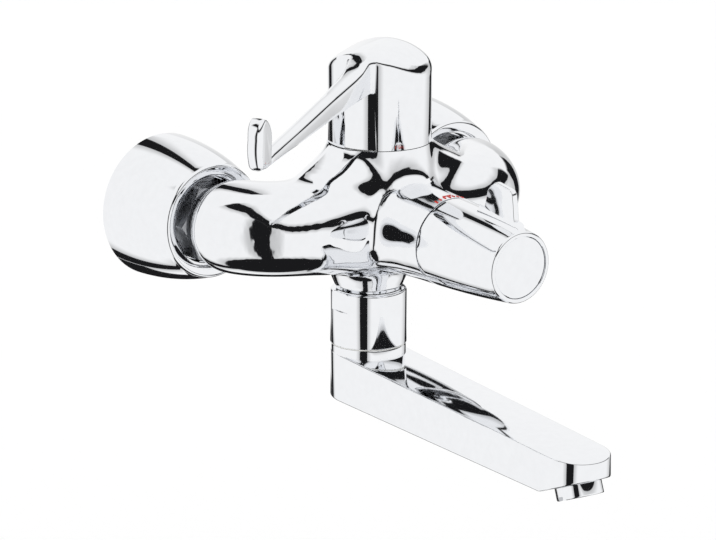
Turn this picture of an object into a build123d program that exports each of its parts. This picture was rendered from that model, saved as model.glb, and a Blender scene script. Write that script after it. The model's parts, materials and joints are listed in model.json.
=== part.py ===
from build123d import *
from math import atan2, cos, hypot, radians, sin, sqrt, tan
import os

# A wall mixer for a wash basin or sink: two inlets on the wall, a thermostat with a winged
# knob facing the user, a long elbow lever on top that opens the water, and a flat swivelling
# spout below. Millimetres, +Z up, the wall is the plane Y = 0 and the user stands on the -Y
# side. The origin is on the wall, midway between the two wall threads.

# Wall side
inlet_spacing = 150.0
union_offset = 5.0            # the eccentric unions lift the mixer by this much
wall_thread_r = 10.48         # G1/2
wall_thread_len = 15.0
wall_collar_r = 13.5
wall_collar_len = 6.0
drum_r = 16.2
drum_len = 8.0
front_thread_r = 13.22        # G3/4
wall_bore_r = 7.0
union_bore_r = 9.5

# Bell shaped wall covers
bell_wall_r = 35.8
bell_mid_bulge = 1.6
bell_shoulder_r = 28.8
bell_shoulder_back = 1.7
bell_rim_r = 26.9
bell_depth = 44.0
bell_skin = 1.5
cup_r = 23.2
cup_step = 4.0
cup_step_width = 1.6
cup_depth = 9.8
cup_floor_thick = 3.0

# Union nuts, tails and what they hold
thread_in_cup = 1.8           # how far the union stands above the cup's floor
nut_flats = 36.0
nut_len = 11.7
nut_chamfer = 2.2
gasket_thick = 2.0
gasket_r = 12.8
gasket_bore_r = 9.0
tail_flange_r = 12.9
tail_flange_thick = 2.6
tail_r = 11.0
tail_bore_r = 8.4
tail_thread_len = 9.5
strainer_rim = 1.0
strainer_depth = 5.5
strainer_wall = 0.5
strainer_hole_r = 0.75
valve_overhang = 2.4          # how far the valve stands out of the casting, inside the tail
valve_len = 11.4
valve_wall = 1.1
valve_seat_r = 4.6
valve_seat_thick = 1.5
poppet_r = 5.9
poppet_thick = 1.5
poppet_stem_r = 1.5
spider_thick = 2.0
spider_arm = 1.6
valve_wire_r = 0.3
valve_coil_r = 3.2
valve_coils = 5

# Casting
casting_gap = 0.8             # between the union nut and the casting
spigot_r = 17.6
shoulder_len = 7.0
inlet_to_bar = 33.0           # from the casting's inlet face to the bar's axis
bar_r = 23.4
bend_r = 25.0
belly_r = 28.6                # radius of the bar in its middle
neck_top = 37.2
neck_r = 25.4
flare = [                     # height, half width, half depth
    (-20.0, 20.0, 17.0), (-6.0, 38.0, 28.0), (8.0, 46.0, 31.5), (22.0, 44.0, 30.0), (26.0, 38.5, 28.3),
    (29.5, 33.5, 26.3), (34.5, 27.4, 25.0),
]
flare_set_back = 2.7
front_neck_r = 22.2
front_neck_root_r = 26.5
front_neck_len = 52.0
boss_r = 18.3
boss_low = -35.0
boss_tip_r = 15.6
boss_tip = -39.2
boss_root_r = 27.0
boss_root = -19.0
waterway_r = 16.0
headpart_bore_r = 12.1
headpart_floor = 19.0
port_r = 3.2
port_pitch = 5.0
outlet_channel_r = 3.2
outlet_bore_top = -21.0
waterway_end = 19.0
passage_r = 3.0
passage_x = 27.0
passage_end_x = 12.0
hot_passage_depth = 33.9      # behind the knob's split line
cold_passage_depth = 15.9
boss_back = 19.0

# Flow control under the lever
cap_set_back = 0.3            # cap axis behind the bar's axis
seal_thick = 2.0
disc_r = 10.4
disc_thick = 3.5
headpart_r = 12.0
headpart_flange_r = 14.5
headpart_flange_thick = 4.0
headpart_tube_r = 9.0
headpart_top = 52.0
spindle_r = 5.0
spindle_foot = 2.4
spline_r = 4.0
spline_root_r = 3.6
spline_teeth = 20
spline_start = 55.0
spline_end = 66.0
spindle_ring_z = 45.0
guide_ring_bore_r = 15.0
guide_ring_thick = 3.0

# Lever handle
lever_yaw = 29.5              # degrees from -X towards the user
skirt_r = 25.75
skirt_wall = 2.5
skirt_gap = 0.5
dome_apex_z = 87.3
dome_apex_back = 7.6
dome_front_r = 143.0
dome_back_r = 18.3
dome_side_r = 30.8
adapter_r = 6.0
adapter_len = 10.5
boss_wall = 3.4
lever_root_w = 12.0
lever_mid_w = 8.6
lever_mid = 66.0
lever_tip_w = 7.6
lever_reach = 156.5
lever_cove = 5.0
arm_start = 14.0              # where the arm's top leaves the dome, from the cap's axis
arm_start_z = 83.6
arm_shoulder = 26.0
arm_shoulder_z = 81.4
arm_mid_z = 72.7
arm_top_end = 18.5            # end of the arm's top, back from the tab's outer face
arm_top_end_z = 62.0
arm_under_start = 28.0
arm_under_start_z = 66.7
arm_under_end = 10.5
arm_under_end_z = 57.3
tab_height = 25.0
tab_depth = 14.0
tab_foot_round = 5.5
tab_bulge = 2.2
grub_r = 2.0
grub_len = 15.0
grub_z = 61.0

# Thermostat and its knob, measured along the knob's axis from the split line
split_forward = 56.9          # split line in front of the bar's axis
split_z = -3.0
knob_tilt = 2.0
knob_gap = 0.4
knob_r = 22.0
knob_front_r = 18.0
knob_bulge = 0.5
knob_len = 53.9
knob_edge = 1.2
knob_wall = 2.6
knob_web = 30.0
knob_web_thick = 3.0
knob_cap_r = 16.55
knob_cap_thick = 1.4
fin_thick = 4.0
fin_outline = [
    (25.5, 17.0), (27.6, 27.0), (29.0, 33.5), (34.5, 38.6), (46.6, 37.3), (49.0, 30.0),
    (50.2, 21.5, 53.0, 16.0),
]
fin_root_w = 9.0
fin_root_rise = 8.0
fin_root_front = 1.9          # the root stops this far behind the knob's front
cartridge_r = 15.5
cartridge_bore_r = 13.0
cartridge_len = 58.0
cartridge_flange_r = 17.6
cartridge_flange_back = -12.0
cartridge_neck_r = 11.0
cartridge_neck_end = 5.0
retainer_r = 18.0
retainer_back = -8.0
retainer_front = -1.5
retainer_slot = 6.0
stop_ring_r = 18.0
stop_ring_back = 1.0
stop_ring_thick = 2.5
stop_lug_turn = 222.0
element_r = 5.0
element_back = -52.0
element_front = -30.0
shuttle_back = -38.0
shuttle_front = -29.0
shuttle_wall = 2.0
return_wire_r = 0.6
return_coil_r = 9.0
return_coils = 5
window_w = 8.0
window_len = 3.5
window_count = 6
thermostat_ring_heights = (-45.0, -33.5, -17.0)
temp_spindle_r = 3.5
temp_spindle_back = -21.0
temp_spindle_end = 27.0
push_pin_r = 1.5
push_pin_depth = 3.0
shuttle_travel = 1.5
knob_adapter_r = 5.6
knob_screw_r = 1.9
knob_screw_reach = 10.0       # how far the screw goes into the spindle
knob_screw_room = 2.0
knob_screw_head_r = 3.6
knob_screw_head = 2.4

# Spout, heights measured from the inlets' axis
stem_set_back = 8.6           # swivel axis behind the bar's axis
connector_r = 19.1
connector_top = -39.5
connector_foot = -67.3
connector_flats = 36.0
flats_foot = -49.3
connector_thread_r = 10.4
connector_thread_len = 11.0
connector_bore_r = 7.0
spigot_low_r = 10.5
spigot_low_end = -85.0
spigot_ring_heights = (-72.0, -77.0)
spout_grub_z = -81.5
spout_grub_r = 2.0
slide_ring_thick = 0.6
collar_r = 18.7
arm_half_root = 18.9
arm_half_tip = 17.4
spout_top = -71.6             # height of the top face at the swivel axis
spout_top_slope = 5.4
spout_foot = -95.7            # height of the underside at the swivel axis
spout_foot_slope = 3.75
spout_reach = 162.0           # from the swivel axis to the centre of the round tip
bevel_before_tip = 6.4
bevel_slope = 19.5
spout_wall = 3.0
collar_root = 6.0              # the collar starts this far inside the spout
channel_w = 16.0
outlet_past_tip = 2.6
outlet_throat = 12.0
aerator_r = 11.6
aerator_drop = 6.6
aerator_thread_r = 10.4
aerator_thread_len = 6.0
aerator_room = 6.0
aerator_bore_r = 8.5
jet_r = 0.8
jet_pitch = 2.6

# Clearances
fit = 0.1
running = 0.05
seat_gap = 0.3

# Places along the inlets, out from the wall
cup_floor = bell_depth - cup_depth
union_front = cup_floor + thread_in_cup
nut_back = cup_floor + seat_gap
nut_front = nut_back + nut_len
casting_back = nut_front + casting_gap
tail_end = casting_back + tail_thread_len
valve_back = casting_back - valve_overhang

# Places in front of the wall
bar_y = -(casting_back + inlet_to_bar)
cap_y = bar_y + cap_set_back
stem_y = bar_y + stem_set_back
split_y = bar_y - split_forward
spout_tip_centre = stem_y - spout_reach
bevel_start = spout_tip_centre + bevel_before_tip
outlet_y = spout_tip_centre - outlet_past_tip

# Heights in the flow control
seal_top = headpart_floor + seal_thick
disc_split = seal_top + disc_thick
disc_top = disc_split + running + disc_thick
headpart_chamber_top = disc_top + spindle_foot + 3 * running

os.makedirs("parts", exist_ok=True)


def save(name, shape):
    """Write one piece to its own file."""
    export_step(shape, f"parts/{name}.step")


def outline(path):
    """Closed face from (x, y) corners; four numbers make an arc by way of the first pair."""
    edges = []
    here = path[0]
    for step in path[1:] + [path[0]]:
        target = step[-2:]
        if hypot(target[0] - here[0], target[1] - here[1]) < 1e-6:
            continue
        if len(step) == 4:
            edges.append(ThreePointArc(here, step[:2], target))
        else:
            edges.append(Line(here, target))
        here = target
    return make_face(edges)


def turned(path, frame=Plane.XY):
    """Solid of revolution about the frame's Z, from (radius, height) steps."""
    return frame.location * revolve(Plane.XZ * outline(path), Axis.Z)


def rod(radius, low, high, frame=Plane.XY, x=0.0, y=0.0):
    """Cylinder from low to high along the frame's Z."""
    length = high - low
    return frame.location * Pos(x, y, low + length / 2) * Cylinder(radius, length)


def tube(outer, inner, low, high, frame=Plane.XY):
    """Hollow cylinder from low to high along the frame's Z."""
    return rod(outer, low, high, frame) - rod(inner, low, high, frame)


def ring(major, minor, height, frame=Plane.XY):
    """Rubber ring of round section."""
    return frame.location * Pos(0, 0, height) * Torus(major, minor)


def coil(radius, wire_r, low, high, turns, frame=Plane.XY):
    """Compression spring that ends just inside low and high."""
    path = Helix((high - low - 2 * wire_r) / turns, high - low - 2 * wire_r, radius)
    section = Plane(origin=path @ 0, z_dir=path % 0) * Circle(wire_r)
    return frame.location * Pos(0, 0, low + wire_r) * sweep(section, path=path, is_frenet=True)


def hexagon(flats, low, high, frame, chamfer_r):
    """Hexagonal nut blank whose front corners are turned off to a cone."""
    corners = RegularPolygon(flats / 2, 6, major_radius=False)
    blank = Pos(0, 0, low) * extrude(corners, amount=high - low)
    top_r = flats / sqrt(3) + 0.2
    cone = turned([
        (0, low), (top_r, low), (top_r, high - chamfer_r / 2), (top_r - chamfer_r, high), (0, high),
    ])
    return frame.location * (blank & cone)


# Frames: heights run out from the wall, up, or forward along the knob
def inlet_frame(side):
    return Plane(origin=(side * inlet_spacing / 2, 0, union_offset), x_dir=(1, 0, 0), z_dir=(0, -1, 0))


cap_frame = Plane(origin=(0, cap_y, union_offset))
stem_frame = Plane(origin=(0, stem_y, union_offset))
tilt = radians(knob_tilt)
knob_axis = (0, -cos(tilt), -sin(tilt))
knob_frame = Plane(origin=(0, split_y, split_z + union_offset), x_dir=(1, 0, 0), z_dir=knob_axis)
knob_side = Plane(origin=knob_frame.origin, x_dir=knob_frame.z_dir, z_dir=(-1, 0, 0))
yaw = radians(lever_yaw)
lever_side = Plane(origin=cap_frame.origin, x_dir=(-cos(yaw), -sin(yaw), 0), z_dir=(-sin(yaw), cos(yaw), 0))
lever_plan = Plane(origin=cap_frame.origin, x_dir=(-cos(yaw), -sin(yaw), 0), z_dir=(0, 0, 1))
lever_grub_frame = Plane(origin=cap_frame.origin + Vector(0, 0, grub_z), z_dir=-lever_plan.x_dir)
spout_grub_frame = Plane(origin=(0, stem_y, spout_grub_z + union_offset), z_dir=(0, 1, 0))


def spout_z(y, at_axis, slope):
    """Height of one of the spout's sloping faces at depth y."""
    return at_axis + (y - stem_y) * tan(radians(slope))


bevel_z = spout_z(bevel_start, spout_foot, spout_foot_slope)
outlet_z = bevel_z + (bevel_start - outlet_y) * tan(radians(bevel_slope))
lean = radians(bevel_slope)
jet_axis = (0, -sin(lean), -cos(lean))
aerator_frame = Plane(origin=(0, outlet_y, outlet_z + union_offset), x_dir=(1, 0, 0), z_dir=jet_axis)


# Inlet side
def bell_cover(frame):
    """Chromed bell that hides the wall hole, with a cup at its front for the union nut."""
    middle = bell_depth / 2
    slope_r = (bell_wall_r + bell_shoulder_r) / 2 + bell_mid_bulge
    shoulder = bell_depth - bell_shoulder_back
    bore = front_thread_r + fit
    cup_low_r = cup_r - cup_step_width
    cup_out = cup_r + bell_skin
    path = [
        (bell_wall_r, 0), (slope_r, middle - 1, bell_shoulder_r, shoulder),
        (bell_shoulder_r - 0.6, bell_depth - 0.4, bell_rim_r, bell_depth),
        (cup_r, bell_depth), (cup_r, bell_depth - cup_step), (cup_low_r, bell_depth - cup_step),
        (cup_low_r, cup_floor), (bore, cup_floor), (bore, cup_floor - cup_floor_thick),
        (cup_low_r + bell_skin, cup_floor - cup_floor_thick), (cup_low_r + bell_skin, shoulder - cup_step),
        (cup_out, shoulder - cup_step), (cup_out, shoulder),
        (bell_shoulder_r - bell_skin - 0.3, shoulder - 1.0),
        (slope_r - bell_skin, middle - 2, bell_wall_r - bell_skin, 0),
    ]
    return turned(path, frame)


def eccentric_union(frame):
    """S-union: the wall thread sits below the axis of the mixer's inlet."""
    low = -union_offset
    wall_part = rod(wall_thread_r, -wall_thread_len, 0, frame, 0, low)
    collar = rod(wall_collar_r, 0, wall_collar_len, frame, 0, low)
    drum = rod(drum_r, wall_collar_len, wall_collar_len + drum_len, frame, 0, low / 2)
    front = rod(front_thread_r, wall_collar_len + drum_len, union_front, frame)
    solid = wall_part + collar + drum + front
    solid -= rod(wall_bore_r, -wall_thread_len, wall_collar_len + drum_len / 2, frame, 0, low)
    return solid - rod(union_bore_r, wall_collar_len + 1, union_front, frame)


def union_nut(frame):
    """Captive hexagon nut that pulls the tail onto the union."""
    lip = union_front + gasket_thick + tail_flange_thick + fit
    nut = hexagon(nut_flats, nut_back, nut_front, frame, nut_chamfer)
    nut -= rod(front_thread_r + fit, nut_back, lip, frame)
    return nut - rod(tail_r + fit, lip, nut_front, frame)


def inlet_tail(frame):
    """Flanged tube screwed into the casting."""
    back = union_front + gasket_thick
    tail = rod(tail_flange_r, back, back + tail_flange_thick, frame) + rod(tail_r, back, tail_end, frame)
    return tail - rod(tail_bore_r, back, tail_end, frame)


def strainer(frame):
    """Thimble of perforated sheet that keeps dirt out, its rim inside the gasket."""
    back = union_front + gasket_thick
    cup_r_out = tail_bore_r - fit
    rim = tube(gasket_bore_r - fit, cup_r_out - strainer_wall, back - strainer_rim, back, frame)
    cup = rod(cup_r_out, back - strainer_rim, back + strainer_depth, frame)
    cup -= rod(cup_r_out - strainer_wall, back - strainer_rim, back + strainer_depth - strainer_wall, frame)
    bottom = frame.location * Pos(0, 0, back + strainer_depth)
    holes = [
        bottom * spot * Cylinder(strainer_hole_r, 4 * strainer_wall)
        for spot in HexLocations(1.5 * strainer_hole_r, 4, 4)
    ]
    return rim + cup - holes


def check_valve(frame):
    """Cage of the non-return valve: a seat ring at the inlet end and a spider at the other."""
    outer = tail_bore_r - fit
    inner = outer - valve_wall
    front = valve_back + valve_len
    cage = rod(outer, valve_back, front, frame)
    cage -= rod(valve_seat_r, valve_back, valve_back + valve_seat_thick, frame)
    cage -= rod(inner, valve_back + valve_seat_thick, front, frame)
    hub = tube(poppet_stem_r + 1.4, poppet_stem_r + fit, front - spider_thick, front, frame)
    arm_len = inner - poppet_stem_r
    arms = [
        frame.location * Rot(0, 0, turn) * Pos(poppet_stem_r + 0.8 + arm_len / 2, 0, front - spider_thick / 2)
        * Box(arm_len, spider_arm, spider_thick)
        for turn in (90, 210, 330)
    ]
    return cage + hub + arms


def check_poppet(frame):
    """Plate and stem that lift off the seat when water flows."""
    back = valve_back + valve_seat_thick + running
    plate = rod(poppet_r, back, back + poppet_thick, frame)
    return plate + rod(poppet_stem_r, back, valve_back + valve_len + 1, frame)


def check_spring(frame):
    """Light spring that closes the non-return valve."""
    low = valve_back + valve_seat_thick + running + poppet_thick
    return coil(valve_coil_r, valve_wire_r, low, valve_back + valve_len - spider_thick, valve_coils, frame)


def inlet_gasket(frame):
    """Flat fibre washer between the union and the tail."""
    return tube(gasket_r, gasket_bore_r, union_front, union_front + gasket_thick, frame)


# Casting
def quarter_bend(side, radius):
    """Round section swept from the inlet's direction into the bar's."""
    swing = Axis((side * (inlet_spacing / 2 - bend_r), bar_y + bend_r, union_offset), (0, 0, -side))
    mouth = Plane(origin=(side * inlet_spacing / 2, bar_y + bend_r, union_offset), z_dir=(0, -1, 0))
    return revolve(mouth * Circle(radius), swing, 90)


def inlet_shoulder(side):
    """Turned end of the casting at one inlet, swelling to the bend's size."""
    start = -bar_y - bend_r
    return turned([
        (0, casting_back), (spigot_r, casting_back), (spigot_r, casting_back + 0.6),
        (bar_r - 1.2, casting_back + 0.42 * shoulder_len, bar_r, casting_back + shoulder_len),
        (bar_r, start), (0, start),
    ], inlet_frame(side))


def bar_frame(side):
    """Frame along the bar, heights running out from the middle to one side."""
    return Plane(origin=(0, bar_y, union_offset), x_dir=(0, 1, 0), z_dir=(side, 0, 0))


def belly():
    """Straight part of the bar, swelling to its middle."""
    straight = inlet_spacing / 2 - bend_r
    swell = belly_r - bar_r
    crown = (belly_r, 0, belly_r - 0.17 * swell, 0.25 * straight)
    shoulder = (bar_r + 0.29 * swell, 0.72 * straight, bar_r, straight)
    return turned([
        (0, -straight), (bar_r, -straight), (shoulder[0], -shoulder[1], crown[2], -crown[3]), crown, shoulder,
        (0, straight),
    ], bar_frame(1))


def casting_shell():
    """Outside of the casting: bar, belly and the three necks that grow out of it."""
    shell = belly()
    for side in (-1, 1):
        shell += inlet_shoulder(side) + quarter_bend(side, bar_r)
    foot = Pos(0, cap_y + flare_set_back, union_offset)
    shell += loft([foot * Pos(0, 0, z) * Ellipse(half_w, half_d) for z, half_w, half_d in flare])
    shell += rod(neck_r, 0, neck_top, cap_frame)
    root = -front_neck_len
    shell += turned([
        (0, root), (front_neck_root_r, root), (front_neck_r + 0.9, root / 2, front_neck_r, 0), (0, 0),
    ], knob_frame)
    boss = turned([
        (0, boss_tip), (boss_tip_r, boss_tip), (boss_r, boss_low),
        (boss_r + 2.2, 0.45 * boss_low + 0.55 * boss_root, boss_root_r, boss_root), (boss_root_r, 0), (0, 0),
    ], stem_frame)
    block = 4 * boss_root_r
    return shell + (boss & Pos(0, stem_y + boss_back - block / 2, union_offset) * Box(block, block, block))


def body_casting():
    """Casting with its waterways, the thermostat's cavity and the seats of what screws in."""
    body = casting_shell()
    passage_ends = {-1: split_y + hot_passage_depth, 1: split_y + cold_passage_depth}
    for side, end_y in passage_ends.items():
        frame = inlet_frame(side)
        body -= rod(tail_r + fit, casting_back - 1, tail_end + fit, frame)
        body -= quarter_bend(side, waterway_r)
        body -= rod(waterway_r, waterway_end, inlet_spacing / 2 - bend_r, bar_frame(side))
        start = Vector(side * passage_x, bar_y, union_offset)
        run = Vector(side * passage_end_x, end_y, union_offset) - start
        body -= rod(passage_r, 0, run.length, Plane(origin=start, z_dir=run))
    body -= rod(cartridge_r + fit, -cartridge_len - 1, 1, knob_frame)
    body -= rod(retainer_r + fit, cartridge_flange_back, 1, knob_frame)
    body -= rod(headpart_bore_r, headpart_floor, neck_top + 1, cap_frame)
    body -= rod(port_r, 0, headpart_floor + 1, cap_frame, 0, -port_pitch)
    body -= rod(outlet_channel_r, outlet_bore_top - 2, headpart_floor + 1, stem_frame)
    body -= rod(connector_bore_r, boss_tip - 1, outlet_bore_top, stem_frame)
    return body - rod(connector_thread_r + fit, boss_tip - 1, boss_tip + connector_thread_len, stem_frame)


# Flow control
def ported_disc(low):
    """Ceramic disc with two ports, the rear one over the outlet channel."""
    disc = rod(disc_r, low, low + disc_thick, cap_frame)
    return disc - [rod(port_r, low, low + disc_thick, cap_frame, 0, y) for y in (-port_pitch, port_pitch)]


def headpart_seal():
    """Rubber ring under the fixed disc."""
    seal = rod(headpart_bore_r - fit, headpart_floor, seal_top, cap_frame)
    return seal - [rod(port_r, headpart_floor, seal_top, cap_frame, 0, y) for y in (-port_pitch, port_pitch)]


def moving_disc():
    """Ceramic disc that turns with the spindle: a bow-tie pocket joins the ports when open."""
    low = disc_split + running
    disc = rod(disc_r, low, low + disc_thick, cap_frame)
    pocket = Box(2 * (port_pitch + port_r), 2 * port_r, disc_thick / 2)
    pocket = cap_frame.location * Pos(0, 0, low + disc_thick / 4) * pocket
    return disc - pocket


def headpart_body():
    """Brass sleeve screwed into the casting, closed around the discs and guiding the spindle."""
    flange = neck_top + fit
    flange_top = flange + headpart_flange_thick
    return turned([
        (headpart_r, seal_top), (headpart_r, flange), (headpart_flange_r, flange),
        (headpart_flange_r, flange_top), (headpart_tube_r, flange_top), (headpart_tube_r, headpart_top),
        (spindle_r + running, headpart_top),
        (spindle_r + running, headpart_chamber_top), (disc_r + fit, headpart_chamber_top),
        (disc_r + fit, seal_top),
    ], cap_frame)


def headpart_spindle():
    """Brass spindle with a foot on the moving disc, a ring groove and a splined head."""
    shaft = rod(disc_r - fit, disc_top, disc_top + spindle_foot, cap_frame)
    shaft += rod(spindle_r, disc_top, spline_start, cap_frame)
    shaft += rod(spline_r, spline_start, spline_end, cap_frame)
    shaft -= tube(spindle_r + 1, spindle_r - 1.2, spindle_ring_z - 0.7, spindle_ring_z + 0.7, cap_frame)
    length = spline_end - spline_start
    depth = 2 * (spline_r - spline_root_r)
    groove = Pos(spline_r, 0, spline_start + 1 + length / 2) * Box(depth, 0.6, length)
    grooves = [cap_frame.location * Rot(0, 0, 360 * i / spline_teeth) * groove for i in range(spline_teeth)]
    return shaft - grooves


def spindle_ring():
    """Rubber ring in the spindle's groove."""
    return ring(spindle_r - 0.6, 0.6, spindle_ring_z, cap_frame)


def guide_ring():
    """Plastic ring on the neck that centres the turning skirt."""
    outer = skirt_r - skirt_wall - seat_gap
    return tube(outer, guide_ring_bore_r, neck_top, neck_top + guide_ring_thick, cap_frame)


# Lever handle
def dome(inset):
    """Skirt and dome together: steep at the back, long and flat towards the arm."""
    low = neck_top + skirt_gap
    side_r = dome_side_r - inset
    front_r = dome_front_r - inset
    back_r = dome_back_r - inset
    reach = 2 * skirt_r
    front_axis = dome_apex_z - dome_front_r
    back_axis = dome_apex_z - dome_back_r
    drop = back_r - side_r
    wing = sqrt(side_r ** 2 - drop ** 2)
    sweep = front_r - side_r
    front = turned([(0, -side_r), (sweep, -side_r), (front_r, 0, sweep, side_r), (0, side_r)])
    back = turned([(0, -wing), (back_r, 0, 0, wing)])
    apex = cap_frame.origin - lever_side.x_dir * dome_apex_back
    stand = Plane(origin=apex + Vector(0, 0, front_axis), x_dir=(0, 0, 1), z_dir=lever_side.z_dir)
    stand_back = Plane(origin=apex + Vector(0, 0, back_axis), x_dir=(0, 0, 1), z_dir=lever_side.z_dir)
    half = Box(reach, 2 * reach, 4 * reach)
    front_half = lever_plan.location * Pos(-dome_apex_back + reach / 2, 0, low) * half
    back_half = lever_plan.location * Pos(-dome_apex_back - reach / 2, 0, low) * half
    foot = Box(reach, 2 * reach, back_axis)
    below = lever_plan.location * Pos(-dome_apex_back - reach / 2, 0, back_axis / 2) * foot
    crown = (stand.location * front & front_half) + (stand_back.location * back & back_half) + below
    return rod(skirt_r - inset, low - inset, dome_apex_z + 1, cap_frame) & crown


def lever_arm():
    """Slim arm that droops to an upright thumb-shaped tab."""
    foot = arm_under_end_z - 1.3
    inner = lever_reach - tab_depth
    top_end = (lever_reach - arm_top_end, arm_top_end_z)
    top = foot + tab_height
    middle = foot + 0.52 * tab_height
    side = [
        (arm_under_start, arm_under_start_z), (lever_reach - arm_under_end, arm_under_end_z),
        (lever_reach - tab_foot_round, foot + 0.1),
        (lever_reach - 3.4, foot + 0.5, lever_reach - 1.6, foot + 3.0),
        (lever_reach, middle, lever_reach - tab_bulge, top - 5.0),
        (lever_reach - 4.0, top - 0.8, lever_reach - 0.5 * tab_depth - 0.4, top),
        (inner + 1.2, top - 1.2, inner + 0.3, top - 5.0),
        (inner, arm_top_end_z + 5.0), (inner - 1.6, arm_top_end_z + 1.0, *top_end),
        (lever_mid, arm_mid_z), (arm_shoulder, arm_shoulder_z), (arm_start, arm_start_z),
        (arm_start, arm_under_start_z + 1.1),
    ]
    slab = extrude(lever_side * outline(side), amount=lever_root_w, both=True)
    return slab & extrude(lever_plan * outline(lever_arm_plan()), amount=2 * dome_apex_z)


def lever_arm_plan():
    """Top view of the arm, with a cove on each side where it leaves the skirt."""
    half = lever_root_w / 2
    centre = (sqrt((skirt_r + lever_cove) ** 2 - (half + lever_cove) ** 2), half + lever_cove)
    share = skirt_r / (skirt_r + lever_cove)
    touch = (centre[0] * share, centre[1] * share)
    turn = (atan2(touch[1] - centre[1], touch[0] - centre[0]) - radians(90)) / 2
    middle = (centre[0] + lever_cove * cos(turn), centre[1] + lever_cove * sin(turn))
    end = lever_reach + 1
    return [
        (0, touch[1]), touch, (*middle, centre[0], half), (lever_mid, lever_mid_w / 2),
        (end, lever_tip_w / 2), (end, -lever_tip_w / 2), (lever_mid, -lever_mid_w / 2), (centre[0], -half),
        (middle[0], -middle[1], touch[0], -touch[1]), (0, -touch[1]),
    ]


def lever_handle():
    """Hollow handle casting: skirt, dome, socket for the spindle and the arm."""
    hollow = dome(skirt_wall)
    socket_r = adapter_r + boss_wall
    socket_low = spline_end - adapter_len
    shell = dome(0) - hollow
    post = rod(socket_r, socket_low, dome_apex_z, cap_frame)
    rib = rod(grub_r + 2.4, 0, skirt_r, lever_grub_frame)
    shell += (post + rib) & dome(0)
    shell += lever_arm() - hollow
    shell -= rod(adapter_r + running, socket_low - 1, spline_end + 0.5, cap_frame)
    return shell - rod(grub_r + running, spline_r, skirt_r + 2, lever_grub_frame)


def lever_adapter():
    """Splined plastic sleeve between the spindle and the handle."""
    low = spline_end - adapter_len
    sleeve = tube(adapter_r, spline_r + running, low, spline_end, cap_frame)
    return sleeve - rod(grub_r + fit, 0, skirt_r, lever_grub_frame)


def lever_grub_screw():
    """Socket screw that locks the handle to the spindle from the back."""
    start = spline_r + running
    socket = extrude(RegularPolygon(1.0, 6), amount=3)
    screw = rod(grub_r, start, start + grub_len, lever_grub_frame)
    return screw - lever_grub_frame.location * Pos(0, 0, start + grub_len - 2.5) * socket


# Thermostat
def thermostat_body():
    """Sleeve of the cartridge with its hot and cold windows, flange and neck."""
    back = -cartridge_len
    front = cartridge_flange_back
    sleeve = turned([
        (cartridge_r, back), (cartridge_r, front), (cartridge_flange_r, front),
        (cartridge_flange_r, retainer_back), (cartridge_neck_r, retainer_back),
        (cartridge_neck_r, cartridge_neck_end),
        (temp_spindle_r + running, cartridge_neck_end), (temp_spindle_r + running, retainer_back - 1),
        (cartridge_bore_r, retainer_back - 3), (cartridge_bore_r, back + 2),
        (element_r + 1.5, back + 2), (element_r + 1.5, back),
    ], knob_frame)
    for height in (shuttle_back, shuttle_front):
        for i in range(window_count):
            turn = Rot(0, 0, 360 * (i + 0.5) / window_count)
            slot = Box(2 * (cartridge_r - cartridge_bore_r) + 3, window_w, window_len)
            sleeve -= knob_frame.location * turn * Pos(cartridge_r, 0, height) * slot
    for height in thermostat_ring_heights:
        sleeve -= tube(cartridge_r + 1, cartridge_r - 1.5, height - 0.9, height + 0.9, knob_frame)
    return sleeve


def thermostat_rings():
    """Three rubber rings that part hot, cold and mixed water."""
    return Compound(children=[ring(cartridge_r - 0.75, 0.75, h, knob_frame) for h in thermostat_ring_heights])


def thermostat_shuttle():
    """Sleeve that opens the hot port as it closes the cold one, on a spoked hub."""
    outer = cartridge_bore_r - running
    mid = (shuttle_back + shuttle_front) / 2
    sleeve = tube(outer, outer - shuttle_wall, shuttle_back, shuttle_front, knob_frame)
    hub = tube(element_r + 2.2, element_r + running, mid - 1.5, mid + 1.5, knob_frame)
    arm_len = outer - shuttle_wall - element_r - 1.0
    arm = Pos(element_r + 1.5 + arm_len / 2, 0, mid) * Box(arm_len, 2.2, 3)
    return sleeve + hub + [knob_frame.location * Rot(0, 0, turn) * arm for turn in (45, 135, 225, 315)]


def thermostat_element():
    """Wax element with its collar and the pin that pushes against the spindle."""
    mid = (shuttle_back + shuttle_front) / 2
    element = rod(element_r, element_back, element_front, knob_frame)
    element += rod(element_r + 1.4, mid + 1.5 + running, mid + 3.0, knob_frame)
    return element + rod(push_pin_r, element_front, temp_spindle_back + push_pin_depth, knob_frame)


def thermostat_spring():
    """Return spring behind the shuttle."""
    floor = -cartridge_len + 2 + running
    return coil(return_coil_r, return_wire_r, floor, shuttle_back, return_coils, knob_frame)


def temperature_spindle():
    """Spindle turned by the knob, with its foot inside the cartridge and a hole for the screw."""
    spindle = rod(temp_spindle_r, temp_spindle_back, temp_spindle_end, knob_frame)
    spindle += rod(temp_spindle_r + 4, temp_spindle_back, temp_spindle_back + 4, knob_frame)
    pin_room = push_pin_depth + shuttle_travel + 1
    spindle -= rod(push_pin_r + running, temp_spindle_back, temp_spindle_back + pin_room, knob_frame)
    hole = temp_spindle_end - knob_screw_reach - knob_screw_room
    return spindle - rod(knob_screw_r + running, hole, temp_spindle_end, knob_frame)


def thermostat_retainer():
    """Slotted brass ring nut that holds the cartridge in the casting."""
    nut = tube(retainer_r, cartridge_neck_r + fit, retainer_back, retainer_front, knob_frame)
    slots = [
        knob_frame.location * Rot(0, 0, turn) * Pos(retainer_r, 0, retainer_front) * Box(retainer_slot, 3, 4)
        for turn in (0, 90, 180, 270)
    ]
    return nut - slots


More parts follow.
